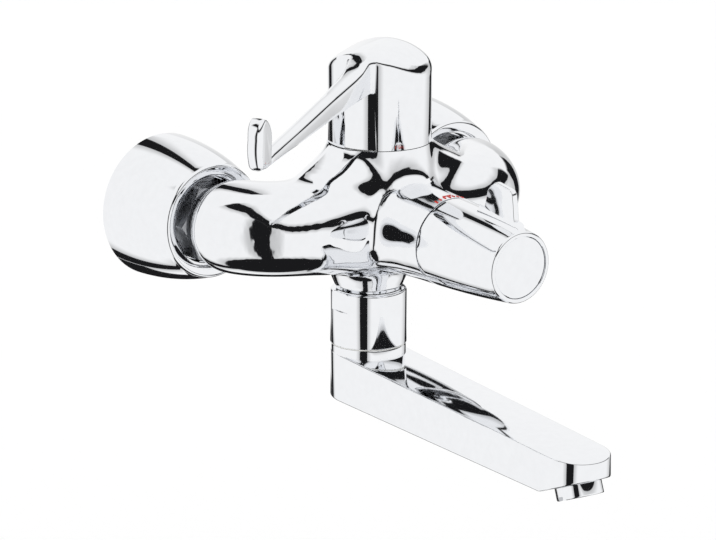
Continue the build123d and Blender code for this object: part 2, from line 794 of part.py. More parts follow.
def stop_ring():
    """Plastic ring on the cartridge neck whose tooth limits the knob's turn."""
    top = stop_ring_back + stop_ring_thick
    band = tube(stop_ring_r - 4, cartridge_neck_r + fit, retainer_front, top, knob_frame)
    tooth = knob_frame.location * Pos(0, -(stop_ring_r - 3.5), stop_ring_back + stop_ring_thick / 2)
    return band + tooth * Box(5, 4, stop_ring_thick)


def knob_adapter():
    """Splined plastic sleeve with a disc whose lug meets the stop ring's tooth."""
    low = cartridge_neck_end + seat_gap
    disc = rod(stop_ring_r - 2, low, low + 2, knob_frame)
    lug_low = stop_ring_back + seat_gap
    lug = Pos(0, -(stop_ring_r - 2), (lug_low + low) / 2 + 0.5) * Box(4, 3, low - lug_low + 1)
    sleeve = rod(knob_adapter_r, low, knob_web, knob_frame)
    sleeve += knob_frame.location * Rot(0, 0, stop_lug_turn) * lug
    return disc + sleeve - rod(temp_spindle_r + running, low, knob_web, knob_frame)


def knob_hollow():
    """Space inside the knob behind its web, tapering with the outside."""
    slope = (knob_r - knob_front_r) / knob_len
    return turned([
        (0, -1), (knob_r - knob_wall, -1), (knob_r - knob_wall - slope * knob_web, knob_web), (0, knob_web),
    ], knob_frame)


def knob_fin():
    """Upright wing by which a wet or weak hand turns the knob."""
    plate = extrude(knob_side * outline(fin_outline), amount=fin_thick / 2, both=True)
    plate = fillet(plate.edges().filter_by(Axis.X).sort_by(Axis.Z)[-4:], 3.0)
    root_back = fin_outline[0][0]
    root_len = knob_len - fin_root_front - root_back
    root_low = knob_front_r - 3.0
    root_high = root_low + fin_root_rise
    half_w = fin_root_w / 2
    profile = [
        (-half_w - 3.2, root_low), (half_w + 3.2, root_low),
        (fin_thick / 2 + 1.2, root_low + 3.6, fin_thick / 2 - 0.05, root_high),
        (-fin_thick / 2 + 0.05, root_high), (-fin_thick / 2 - 1.2, root_low + 3.6, -half_w - 3.2, root_low),
    ]
    root = knob_frame.location * Pos(0, 0, root_back) * extrude(outline(profile), amount=root_len)
    return plate + root


def temperature_knob():
    """Hollow winged knob, a little thinner towards the front."""
    mid_r = (knob_r + knob_front_r) / 2 + knob_bulge
    skin = turned([
        (0, knob_gap), (knob_r, knob_gap), (mid_r, knob_len / 2, knob_front_r, knob_len - knob_edge),
        (knob_front_r - 0.35, knob_len - 0.35, knob_front_r - knob_edge, knob_len), (0, knob_len),
    ], knob_frame)
    knob = skin + knob_fin() - knob_hollow()
    knob += tube(knob_adapter_r + 2.4, knob_adapter_r + running, knob_web / 2, knob_web, knob_frame)
    front = knob_web + knob_web_thick
    knob -= rod(knob_cap_r - 1.6, front, knob_len, knob_frame)
    knob -= rod(knob_cap_r + running, knob_len - knob_cap_thick - 0.1, knob_len, knob_frame)
    return knob - rod(knob_screw_r + fit, knob_web - 1, front + 1, knob_frame)


def knob_cap():
    """Pressed-in disc on the knob's front."""
    return turned([
        (0, knob_len - knob_cap_thick), (knob_cap_r, knob_len - knob_cap_thick), (knob_cap_r, knob_len - 0.3),
        (knob_cap_r - 0.3, knob_len), (0, knob_len),
    ], knob_frame)


def knob_screw():
    """Pan-head screw behind the cap."""
    seat = knob_web + knob_web_thick
    top = seat + knob_screw_head
    screw = rod(knob_screw_r, temp_spindle_end - knob_screw_reach, seat, knob_frame)
    screw += rod(knob_screw_head_r, seat, top, knob_frame)
    cross = knob_frame.location * Pos(0, 0, top)
    return screw - cross * Box(4.2, 0.9, knob_screw_head) - cross * Box(0.9, 4.2, knob_screw_head)


# Spout
def spout_connector():
    """Fixed connector below the casting: spanner flats above, sealed spigot below."""
    drum = turned([
        (connector_bore_r, connector_foot), (connector_r, connector_foot), (connector_r, connector_top - 1.0),
        (connector_r - 0.3, connector_top - 0.3, connector_r - 1.0, connector_top),
        (connector_bore_r, connector_top),
    ], stem_frame)
    tall = connector_top - flats_foot
    for side in (-1, 1):
        wide = Box(connector_r, 3 * connector_r, tall + 2)
        middle = Pos(side * (connector_flats / 2 + connector_r / 2), 0, flats_foot + tall / 2 + 1)
        drum -= stem_frame.location * middle * wide
    thread_top = boss_tip + connector_thread_len - 0.5
    drum += tube(connector_thread_r, connector_bore_r, connector_top - 1, thread_top, stem_frame)
    drum += tube(spigot_low_r, connector_bore_r, spigot_low_end, connector_foot + 1, stem_frame)
    for height in spigot_ring_heights:
        drum -= tube(spigot_low_r + 1, spigot_low_r - 1.5, height - 0.9, height + 0.9, stem_frame)
    low = spout_grub_z - spout_grub_r + 0.2
    high = spout_grub_z + spout_grub_r - 0.2
    return drum - tube(spigot_low_r + 1, spigot_low_r - 1.6, low, high, stem_frame)


def spout_rings():
    """Two rubber rings on the spigot."""
    return Compound(children=[ring(spigot_low_r - 0.75, 0.75, h, stem_frame) for h in spigot_ring_heights])


def slide_ring():
    """Thin nylon washer on which the spout turns."""
    low = connector_foot - slide_ring_thick
    return tube(collar_r - 0.3, spigot_low_r + fit, low, connector_foot, stem_frame)


def spout_profile(inset):
    """Side view of the spout, (y, z), drawn in by the inset."""
    back = stem_y + collar_r + 1 - inset
    front = spout_tip_centre - arm_half_tip - 1 + inset
    foot_root = spout_z(back, spout_foot, 0) + inset
    tip_z = bevel_z + (bevel_start - front) * tan(radians(bevel_slope)) + inset
    return [
        (back, spout_z(back, spout_top, spout_top_slope) - inset),
        (front, spout_z(front, spout_top, spout_top_slope) - inset),
        (front, tip_z), (bevel_start, bevel_z + inset),
        (stem_y, spout_foot + inset), (back, foot_root),
    ]


def spout_plan(inset):
    """Top view of the spout, (x, y): round at the root, tapering to a round tip."""
    root = arm_half_root - inset
    tip = arm_half_tip - inset
    return [
        (-root, stem_y), (0, stem_y + root, root, stem_y), (tip, spout_tip_centre),
        (0, spout_tip_centre - tip, -tip, spout_tip_centre),
    ]


def spout_block(inset):
    """Side view and top view crossed."""
    side = Plane(origin=(0, 0, union_offset), x_dir=(0, 1, 0), z_dir=(1, 0, 0))
    slab = extrude(side * outline(spout_profile(inset)), amount=2 * collar_r, both=True)
    blade = extrude(Plane(origin=(0, 0, 2 * spout_foot)) * outline(spout_plan(inset)), amount=-2 * spout_foot)
    return slab & blade


def spout_casting():
    """Hollow flat spout with the socket it swivels on and the seat of the outlet."""
    block = spout_block(0)
    collar_top = connector_foot - slide_ring_thick - running
    spout = block + rod(collar_r, spout_foot + collar_root, collar_top, stem_frame)
    channel_start = spigot_low_r + running + spout_wall
    room = Box(4 * collar_r, 2 * spout_reach, -4 * spout_foot)
    keep = Pos(0, stem_y - channel_start - spout_reach, 0) * room
    spout -= spout_block(spout_wall) & keep
    spout -= rod(spigot_low_r + running, spigot_low_end - 1, collar_top + 1, stem_frame)
    low = spout_foot + spout_wall
    high = spigot_low_end - 0.5
    throat = Box(channel_w, channel_start + 4, high - low)
    spout -= stem_frame.location * Pos(0, -(channel_start + 4) / 2, (high + low) / 2) * throat
    spout -= rod(aerator_thread_r + fit, -aerator_thread_len - 1.2, aerator_room, aerator_frame)
    spout -= rod(aerator_bore_r - 1, -outlet_throat, 0, aerator_frame)
    return spout - rod(spout_grub_r + fit, 0, collar_r + 2, spout_grub_frame)


def spout_grub_screw():
    """Screw whose point runs in the spigot's groove and keeps the spout on."""
    point = rod(spout_grub_r - 0.5, spigot_low_r - 1.3, spigot_low_r + 1, spout_grub_frame)
    screw = point + rod(spout_grub_r, spigot_low_r + 0.4, collar_r - 0.6, spout_grub_frame)
    socket = extrude(RegularPolygon(spout_grub_r / 2, 6), amount=3)
    return screw - spout_grub_frame.location * Pos(0, 0, collar_r - 2.6) * socket


def aerator_housing():
    """Chromed sleeve screwed into the spout, with two small spanner slots."""
    shell = turned([
        (aerator_bore_r, -aerator_thread_len), (aerator_thread_r, -aerator_thread_len),
        (aerator_thread_r, 0.2), (aerator_r, 0.2), (aerator_r, aerator_drop - 0.5),
        (aerator_r - 0.5, aerator_drop),
        (aerator_bore_r - 0.9, aerator_drop), (aerator_bore_r - 0.9, aerator_drop - 0.8),
        (aerator_bore_r, aerator_drop - 0.8),
    ], aerator_frame)
    slots = [
        aerator_frame.location * Pos(side * aerator_r, 0, aerator_drop) * Box(2.6, 5, 3.0) for side in (-1, 1)
    ]
    return shell - slots


def aerator_insert():
    """Plastic insert with a dished strainer on top and a grid of jets below."""
    outer = aerator_bore_r - running
    low = aerator_drop - 0.8 - running
    cup = rod(outer, -aerator_thread_len + 1, low, aerator_frame)
    cup -= rod(outer - 1.2, -aerator_thread_len + 1, low - 1.4, aerator_frame)
    face = aerator_frame.location * Pos(0, 0, low)
    return cup - [face * spot * Cylinder(jet_r, aerator_room) for spot in HexLocations(jet_pitch / 2, 5, 5)]


def aerator_gasket():
    """Rubber washer above the aerator."""
    return tube(aerator_thread_r, aerator_bore_r, -aerator_thread_len - 1, -aerator_thread_len, aerator_frame)


for side_name, side in (("left", -1), ("right", 1)):
    place = inlet_frame(side)
    save(f"escutcheon_{side_name}", bell_cover(place))
    save(f"s_union_{side_name}", eccentric_union(place))
    save(f"union_nut_{side_name}", union_nut(place))
    save(f"inlet_gasket_{side_name}", inlet_gasket(place))
    save(f"inlet_tail_{side_name}", inlet_tail(place))
    save(f"strainer_{side_name}", strainer(place))
    save(f"check_valve_{side_name}", check_valve(place))
    save(f"check_poppet_{side_name}", check_poppet(place))
    save(f"check_spring_{side_name}", check_spring(place))

save("body_casting", body_casting())
save("headpart_seal", headpart_seal())
save("ceramic_disc_fixed", ported_disc(seal_top))
save("ceramic_disc_moving", moving_disc())
save("headpart_body", headpart_body())
save("headpart_spindle", headpart_spindle())
save("spindle_ring", spindle_ring())
save("guide_ring", guide_ring())
save("lever_handle", lever_handle())
save("lever_adapter", lever_adapter())
save("lever_grub_screw", lever_grub_screw())

save("thermostat_body", thermostat_body())
save("thermostat_rings", thermostat_rings())
save("thermostat_shuttle", thermostat_shuttle())
save("thermostat_element", thermostat_element())
save("thermostat_spring", thermostat_spring())
save("thermostat_retainer", thermostat_retainer())
save("temperature_spindle", temperature_spindle())
save("stop_ring", stop_ring())
save("knob_adapter", knob_adapter())
save("temperature_knob", temperature_knob())
save("knob_cap", knob_cap())
save("knob_screw", knob_screw())

save("spout_connector", spout_connector())
save("spout_rings", spout_rings())
save("slide_ring", slide_ring())
save("spout_casting", spout_casting())
save("spout_grub_screw", spout_grub_screw())
save("aerator_housing", aerator_housing())
save("aerator_insert", aerator_insert())
save("aerator_gasket", aerator_gasket())
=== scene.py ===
import json
import math

import bmesh
import bpy
from mathutils import Matrix, Vector
from mathutils.geometry import intersect_point_line


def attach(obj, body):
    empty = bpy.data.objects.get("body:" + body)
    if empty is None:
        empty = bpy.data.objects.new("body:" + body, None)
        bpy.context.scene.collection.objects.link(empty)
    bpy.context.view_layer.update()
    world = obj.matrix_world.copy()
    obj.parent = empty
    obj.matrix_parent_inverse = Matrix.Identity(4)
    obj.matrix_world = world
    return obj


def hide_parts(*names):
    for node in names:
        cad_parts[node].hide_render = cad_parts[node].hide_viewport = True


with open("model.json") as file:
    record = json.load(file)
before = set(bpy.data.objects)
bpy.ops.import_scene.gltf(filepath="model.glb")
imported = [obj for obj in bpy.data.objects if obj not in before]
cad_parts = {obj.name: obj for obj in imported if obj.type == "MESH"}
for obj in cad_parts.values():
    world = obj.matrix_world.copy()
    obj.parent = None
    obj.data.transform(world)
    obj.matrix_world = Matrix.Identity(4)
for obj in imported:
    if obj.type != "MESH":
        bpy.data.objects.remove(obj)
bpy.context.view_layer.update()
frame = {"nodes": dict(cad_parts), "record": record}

# Lengths are written in millimetres, as on the drawing, and made metres where they are used.
MM = 0.001
UNION_OFFSET = 5.0
INLET_X = 75.0
LEVER_YAW = math.radians(29.5)
KNOB_TILT = math.radians(2.0)
BEVEL_LEAN = math.radians(19.5)
SPOUT_FALL = math.radians(3.75)
CAP_Y = -79.7
STEM_Y = -71.4
SPLIT_Y = -136.9
CASTING_BACK_Y = -47.4
NECK_TOP = 37.2
BOSS_TIP = -39.2
SPOUT_FOOT = -95.7
DRUM_R = 18.7
CASTING_GRAIN = 0.0016
CASTING_SOFTENING = 36
FRONT = math.radians(90)
NOWHERE = Matrix.Identity(4)


def mm(*values):
    """A point or a move given in millimetres."""
    return Vector([v * MM for v in values])


def standing(x, y, z, turn=0.0):
    """Place whose own Z is up."""
    return Matrix.Translation(mm(x, y, z)) @ Matrix.Rotation(turn, 4, "Z")


def facing(x, y, z, tip):
    """Place whose own Z is tipped over towards the user."""
    return Matrix.Translation(mm(x, y, z)) @ Matrix.Rotation(FRONT + tip, 4, "X")


CAP = standing(0, CAP_Y, UNION_OFFSET)
LEVER = standing(0, CAP_Y, UNION_OFFSET, math.pi + LEVER_YAW)
STEM = standing(0, STEM_Y, UNION_OFFSET)
KNOB = facing(0, SPLIT_Y, UNION_OFFSET - 3.0, KNOB_TILT)
OUTLET_Z = SPOUT_FOOT - (227 + STEM_Y) * math.tan(SPOUT_FALL) + 9 * math.tan(BEVEL_LEAN)
AERATOR = facing(0, -236, UNION_OFFSET + OUTLET_Z, FRONT - BEVEL_LEAN)


def inlet(side):
    """Place on the wall with its own Z along an inlet's axis, out of the wall."""
    return facing(side * INLET_X, 0, UNION_OFFSET, 0.0)


# Ways of working
def arc(a, through, b, steps):
    """Points on the circle through three points, from a to b."""
    (ax, ay), (tx, ty), (bx, by) = a, through, b
    d = 2 * (ax * (ty - by) + tx * (by - ay) + bx * (ay - ty))
    a2, t2, b2 = ax * ax + ay * ay, tx * tx + ty * ty, bx * bx + by * by
    cx = (a2 * (ty - by) + t2 * (by - ay) + b2 * (ay - ty)) / d
    cy = (a2 * (bx - tx) + t2 * (ax - bx) + b2 * (tx - ax)) / d
    radius = math.hypot(ax - cx, ay - cy)
    start = math.atan2(ay - cy, ax - cx)
    swing = (math.atan2(by - cy, bx - cx) - start) % (2 * math.pi)
    middle = (math.atan2(ty - cy, tx - cx) - start) % (2 * math.pi)
    if middle > swing:
        swing -= 2 * math.pi
    angles = [start + swing * i / steps for i in range(steps + 1)]
    return [(cx + radius * math.cos(t), cy + radius * math.sin(t)) for t in angles]


def start(add, name, **settings):
    """Adds a primitive with nothing else selected."""
    bpy.ops.object.select_all(action="DESELECT")
    add(**settings)
    obj = bpy.context.object
    obj.name = name
    obj.data.name = name
    return obj


def edit(obj):
    """Opens a piece in edit mode with all of it selected."""
    bpy.ops.object.select_all(action="DESELECT")
    bpy.context.view_layer.objects.active = obj
    obj.select_set(True)
    bpy.ops.object.mode_set(mode="EDIT")
    bpy.ops.mesh.select_mode(type="VERT")
    bpy.ops.mesh.select_all(action="SELECT")


def leave():
    """Goes back from edit mode."""
    bpy.ops.object.mode_set(mode="OBJECT")


def pick(obj, test, kind="VERT"):
    """Selects the corners, edges or faces whose middle passes a test, given in millimetres."""
    bpy.ops.mesh.select_mode(type=kind)
    bpy.ops.mesh.select_all(action="DESELECT")
    mesh = bmesh.from_edit_mesh(obj.data)
    for item in {"VERT": mesh.verts, "EDGE": mesh.edges, "FACE": mesh.faces}[kind]:
        if kind == "VERT":
            middle = item.co
        else:
            middle = sum((v.co for v in item.verts), Vector()) / len(item.verts)
        if test(middle / MM):
            item.select_set(True)
    mesh.select_flush(False)
    bmesh.update_edit_mesh(obj.data)


def trace(name, points, flat="XZ"):
    """Draws a chain of corners: one corner, drawn out point by point."""
    obj = start(bpy.ops.mesh.primitive_plane_add, name, size=0.002)
    edit(obj)
    bpy.ops.mesh.merge(type="CENTER")
    spots = [mm(p[0], 0, p[1]) if flat == "XZ" else mm(p[0], p[1], 0) for p in points]
    bpy.ops.transform.translate(value=spots[0])
    for a, b in zip(spots, spots[1:]):
        bpy.ops.mesh.extrude_vertices_move(TRANSFORM_OT_translate={"value": b - a})
    return obj


def closed(obj):
    """Joins a chain's two ends."""
    bpy.ops.mesh.select_all(action="SELECT")
    mesh = bmesh.from_edit_mesh(obj.data)
    for v in mesh.verts:
        v.select_set(len(v.link_edges) < 2)
    mesh.select_flush_mode()
    bmesh.update_edit_mesh(obj.data)
    bpy.ops.mesh.edge_face_add()


def turned(name, points, place, steps=160):
    """Turns a profile of (radius, height) points round its own Z, as on a lathe."""
    ring = abs(points[0][0]) > 0.001 or abs(points[-1][0]) > 0.001
    obj = trace(name, points)
    if ring:
        closed(obj)
    bpy.ops.mesh.select_all(action="SELECT")
    bpy.ops.mesh.spin(steps=steps, angle=2 * math.pi, center=(0, 0, 0), axis=(0, 0, 1))
    bpy.ops.mesh.select_all(action="SELECT")
    bpy.ops.mesh.remove_doubles(threshold=0.000005)
    bpy.ops.mesh.normals_make_consistent(inside=False)
    leave()
    return put(obj, place)


def slab(name, points, low, high, place, flat="XZ"):
    """Fills an outline and draws it out from low to high, across the outline."""
    obj = trace(name, points, flat)
    closed(obj)
    bpy.ops.mesh.select_all(action="SELECT")
    bpy.ops.mesh.edge_face_add()
    across = (0, 1, 0) if flat == "XZ" else (0, 0, 1)
    bpy.ops.transform.translate(value=Vector(across) * low * MM)
    height = Vector(across) * (high - low) * MM
    bpy.ops.mesh.extrude_region_move(TRANSFORM_OT_translate={"value": height})
    bpy.ops.mesh.select_all(action="SELECT")
    bpy.ops.mesh.normals_make_consistent(inside=False)
    leave()
    return put(obj, place)


def put(obj, place):
    """Moves a mesh to its place and leaves the object itself at the origin."""
    bpy.ops.object.select_all(action="DESELECT")
    bpy.context.view_layer.objects.active = obj
    obj.select_set(True)
    obj.matrix_world = place @ obj.matrix_world
    bpy.ops.object.transform_apply(location=True, rotation=True, scale=True)
    return obj


def apply(obj, kind, **settings):
    """Adds one modifier and applies it."""
    bpy.ops.object.select_all(action="DESELECT")
    bpy.context.view_layer.objects.active = obj
    obj.select_set(True)
    modifier = obj.modifiers.new(kind.lower(), kind)
    for key, value in settings.items():
        setattr(modifier, key, value)
    bpy.ops.object.modifier_apply(modifier=modifier.name)
    return obj


def rounded(obj, radius, steps=3, sharper=30.0):
    """Rounds every edge sharper than an angle."""
    return apply(obj, "BEVEL", width=radius * MM, segments=steps, limit_method="ANGLE",
                 angle_limit=math.radians(sharper), use_clamp_overlap=True, harden_normals=False)


def cut(obj, tool, operation="DIFFERENCE"):
    """Cuts with another piece, or keeps what both share, and throws the tool away."""
    apply(obj, "BOOLEAN", operation=operation, solver="EXACT", object=tool)
    bpy.data.objects.remove(tool)
    return obj


def joined(name, *pieces):
    """Makes several meshes one piece."""
    bpy.ops.object.select_all(action="DESELECT")
    for piece in pieces:
        piece.select_set(True)
    bpy.context.view_layer.objects.active = pieces[0]
    bpy.ops.object.join()
    obj = bpy.context.object
    obj.name = name
    obj.data.name = name
    return obj


def sliced(obj, place, keep_below=True):
    """Cuts a piece flat at the place's own XY plane and closes the cut."""
    edit(obj)
    upwards = place.to_3x3() @ Vector((0, 0, 1))
    bpy.ops.mesh.bisect(plane_co=place.translation, plane_no=upwards, use_fill=True, clear_outer=keep_below,
                        clear_inner=not keep_below, threshold=0.000002)
    leave()
    return obj


def dress(obj, finish, body, slot, *nodes, smooth=30.0):
    """Gives a finished piece its material and its body, and hides the CAD nodes that it stands for."""
    bpy.ops.object.select_all(action="DESELECT")
    bpy.context.view_layer.objects.active = obj
    obj.select_set(True)
    bpy.ops.object.shade_smooth_by_angle(angle=math.radians(smooth))
    obj.data.materials.clear()
    obj.data.materials.append(finish)
    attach(obj, body)
    if nodes:
        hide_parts(*nodes)
    return obj


# Finishes
def group_socket(group, name, kind, way, value=None):
    """Adds one named input or output to a node group."""
    socket = group.interface.new_socket(name=name, in_out=way, socket_type=kind)
    if value is not None:
        socket.default_value = value
    return socket


def polish_marks():
    """Faint wipe marks and water haze on plated metal: a colour, a roughness and a normal."""
    group = bpy.data.node_groups.new("polish_marks", "ShaderNodeTree")
    group_socket(group, "Metal", "NodeSocketColor", "INPUT", (0.8, 0.8, 0.8, 1))
    group_socket(group, "Haze", "NodeSocketFloat", "INPUT", 0.02)
    group_socket(group, "Base Roughness", "NodeSocketFloat", "INPUT", 0.03)
    group_socket(group, "Ripple", "NodeSocketFloat", "INPUT", 0.02)
    group_socket(group, "Color", "NodeSocketColor", "OUTPUT")
    group_socket(group, "Roughness", "NodeSocketFloat", "OUTPUT")
    group_socket(group, "Normal", "NodeSocketVector", "OUTPUT")
    n = group.nodes
    link = group.links.new
    given = n.new("NodeGroupInput")
    out = n.new("NodeGroupOutput")
    where = n.new("ShaderNodeTexCoord")
    cloud = n.new("ShaderNodeTexNoise")
    cloud.inputs["Scale"].default_value = 38
    cloud.inputs["Detail"].default_value = 4
    link(where.outputs["Object"], cloud.inputs["Vector"])
    fine = n.new("ShaderNodeTexNoise")
    fine.inputs["Scale"].default_value = 260
    fine.inputs["Detail"].default_value = 3
    link(where.outputs["Object"], fine.inputs["Vector"])
    spread = n.new("ShaderNodeMapRange")
    spread.inputs["From Min"].default_value = 0.35
    spread.inputs["From Max"].default_value = 0.75
    link(cloud.outputs["Fac"], spread.inputs["Value"])
    amount = n.new("ShaderNodeMath")
    amount.operation = "MULTIPLY_ADD"
    link(spread.outputs["Result"], amount.inputs[0])
    link(given.outputs["Haze"], amount.inputs[1])
    link(given.outputs["Base Roughness"], amount.inputs[2])
    link(amount.outputs["Value"], out.inputs["Roughness"])
    dull = n.new("ShaderNodeMix")
    dull.data_type = "RGBA"
    dull.blend_type = "MULTIPLY"
    dull.inputs["Factor"].default_value = 0.06
    link(given.outputs["Metal"], dull.inputs["A"])
    link(fine.outputs["Fac"], dull.inputs["B"])
    link(dull.outputs["Result"], out.inputs["Color"])
    bump = n.new("ShaderNodeBump")
    bump.inputs["Distance"].default_value = 0.00002
    link(given.outputs["Ripple"], bump.inputs["Strength"])
    link(cloud.outputs["Fac"], bump.inputs["Height"])
    link(bump.outputs["Normal"], out.inputs["Normal"])
    return group


def fine_grain():
    """Grain of moulded, pressed or machined stuff: a colour, a roughness and a normal."""
    group = bpy.data.node_groups.new("fine_grain", "ShaderNodeTree")
    group_socket(group, "Light", "NodeSocketColor", "INPUT", (0.8, 0.8, 0.8, 1))
    group_socket(group, "Dark", "NodeSocketColor", "INPUT", (0.6, 0.6, 0.6, 1))
    group_socket(group, "Grain Size", "NodeSocketFloat", "INPUT", 900.0)
    group_socket(group, "Base Roughness", "NodeSocketFloat", "INPUT", 0.4)
    group_socket(group, "Depth", "NodeSocketFloat", "INPUT", 0.2)
    group_socket(group, "Color", "NodeSocketColor", "OUTPUT")
    group_socket(group, "Roughness", "NodeSocketFloat", "OUTPUT")
    group_socket(group, "Normal", "NodeSocketVector", "OUTPUT")
    n = group.nodes
    link = group.links.new
    given = n.new("NodeGroupInput")
    out = n.new("NodeGroupOutput")
    where = n.new("ShaderNodeTexCoord")
    grain = n.new("ShaderNodeTexNoise")
    grain.inputs["Detail"].default_value = 5
    link(where.outputs["Object"], grain.inputs["Vector"])
    link(given.outputs["Grain Size"], grain.inputs["Scale"])
    tone = n.new("ShaderNodeMix")
    tone.data_type = "RGBA"
    link(grain.outputs["Fac"], tone.inputs["Factor"])
    link(given.outputs["Dark"], tone.inputs["A"])
    link(given.outputs["Light"], tone.inputs["B"])
    link(tone.outputs["Result"], out.inputs["Color"])
    rough = n.new("ShaderNodeMath")
    rough.operation = "MULTIPLY_ADD"
    rough.inputs[1].default_value = 0.15
    link(grain.outputs["Fac"], rough.inputs[0])
    link(given.outputs["Base Roughness"], rough.inputs[2])
    link(rough.outputs["Value"], out.inputs["Roughness"])
    bump = n.new("ShaderNodeBump")
    bump.inputs["Distance"].default_value = 0.0001
    link(given.outputs["Depth"], bump.inputs["Strength"])
    link(grain.outputs["Fac"], bump.inputs["Height"])
    link(bump.outputs["Normal"], out.inputs["Normal"])
    return group


POLISH = polish_marks()
GRAIN = fine_grain()


def new_finish(name, metallic):
    """An empty material with its shader; the group is wired in by the caller."""
    material = bpy.data.materials.new(name)
    material.use_nodes = True
    shader = material.node_tree.nodes["Principled BSDF"]
    shader.inputs["Metallic"].default_value = metallic
    return material, shader


def wire(material, shader, group, **values):
    """Feeds a shader's colour, roughness and normal from one of the groups."""
    node = material.node_tree.nodes.new("ShaderNodeGroup")
    node.node_tree = group
    for key, value in values.items():
        node.inputs[key.replace("_", " ")].default_value = value
    link = material.node_tree.links.new
    link(node.outputs["Color"], shader.inputs["Base Color"])
    link(node.outputs["Roughness"], shader.inputs["Roughness"])
    link(node.outputs["Normal"], shader.inputs["Normal"])
    return material


def plated(name, metal, base, haze, ripple):
    """Polished plate: its metal's colour, its base roughness, its haze and its ripple."""
    material, shader = new_finish(name, 1.0)
    return wire(material, shader, POLISH, Metal=metal, Haze=haze, Base_Roughness=base, Ripple=ripple)


def grained(name, light, dark, size, base, depth, metallic=0.0):
    """Plain stuff with a grain of two tones: its size, base roughness and depth."""
    material, shader = new_finish(name, metallic)
    return wire(material, shader, GRAIN, Light=light, Dark=dark, Grain_Size=size, Base_Roughness=base,
                Depth=depth)


CHROME = plated("chrome_plate", (0.90, 0.91, 0.93, 1), 0.035, 0.02, 0.05)
NUT_PLATE = plated("nut_plate", (0.40, 0.41, 0.43, 1), 0.34, 0.05, 0.02)
BRASS = grained("machined_brass", (0.78, 0.62, 0.34, 1), (0.66, 0.50, 0.25, 1), 700, 0.24, 0.12, 1.0)
UNION_BRASS = grained("union_brass", (0.74, 0.58, 0.32, 1), (0.58, 0.44, 0.22, 1), 420, 0.30, 0.20, 1.0)
STEEL = grained("stainless_steel", (0.66, 0.67, 0.68, 1), (0.52, 0.53, 0.54, 1), 900, 0.22, 0.10, 1.0)
CERAMIC = grained("lapped_ceramic", (0.95, 0.95, 0.92, 1), (0.88, 0.88, 0.84, 1), 1500, 0.12, 0.02)
RUBBER = grained("black_rubber", (0.035, 0.035, 0.035, 1), (0.015, 0.015, 0.015, 1), 1200, 0.55, 0.25)
FIBRE = grained("fibre_washer", (0.30, 0.45, 0.40, 1), (0.18, 0.30, 0.27, 1), 1800, 0.70, 0.60)
ACETAL = grained("white_acetal", (0.90, 0.90, 0.87, 1), (0.82, 0.82, 0.78, 1), 1000, 0.35, 0.08)
NYLON = grained("grey_nylon", (0.30, 0.31, 0.32, 1), (0.20, 0.21, 0.22, 1), 1300, 0.45, 0.20)
SCALE_RED = grained("scale_red_ink", (0.80, 0.05, 0.03, 1), (0.62, 0.03, 0.02, 1), 1500, 0.35, 0.05)
INDEX_GREY = grained("index_grey_ink", (0.10, 0.10, 0.11, 1), (0.05, 0.05, 0.06, 1), 1500, 0.35, 0.05)

NODE_FINISH = {
    "chrome": CHROME, "raw_brass": BRASS, "union_brass": UNION_BRASS, "ceramic": CERAMIC,
    "seal_rubber": RUBBER, "fibre": FIBRE, "steel": STEEL, "white_plastic": ACETAL, "grey_plastic": NYLON,
}
for part in frame["record"]["subparts"]:
    node = frame["nodes"][part["node"]]
    node.data.materials.clear()
    is_nut = part["node"].startswith("union_nut")
    node.data.materials.append(NUT_PLATE if is_nut else NODE_FINISH[part["material_slot"]])


# Wall covers
def wall_cover(name, side):
    """Bell with its rounded lip and stepped cup, turned as one closed wall."""
    shoulder = (28.8, 42.3)
    outside = arc((35.8, 0), (33.9, 21), shoulder, 28)
    lip = arc(shoulder, (28.2, 43.6), (26.9, 44), 8)
    cup = [(23.7, 44), (23.35, 43.85), (23.2, 43.5), (23.2, 40.3), (23.0, 40.0), (21.9, 40.0), (21.6, 39.7),
           (21.6, 34.6), (21.2, 34.2), (13.32, 34.2), (13.32, 31.2), (23.1, 31.2), (23.1, 38.3), (24.7, 38.3),
           (24.7, 42.3), (27.0, 41.3)]
    inside = arc((27.0, 41.3), (32.4, 20), (34.3, 0), 20)
    return turned(name, outside + lip[1:] + cup + inside[1:], inlet(side), 192)


for side_name, side in (("left", -1), ("right", 1)):
    cover = wall_cover(f"wall_cover_{side_name}", side)
    dress(cover, CHROME, "fixture", "chrome", f"escutcheon_{side_name}")


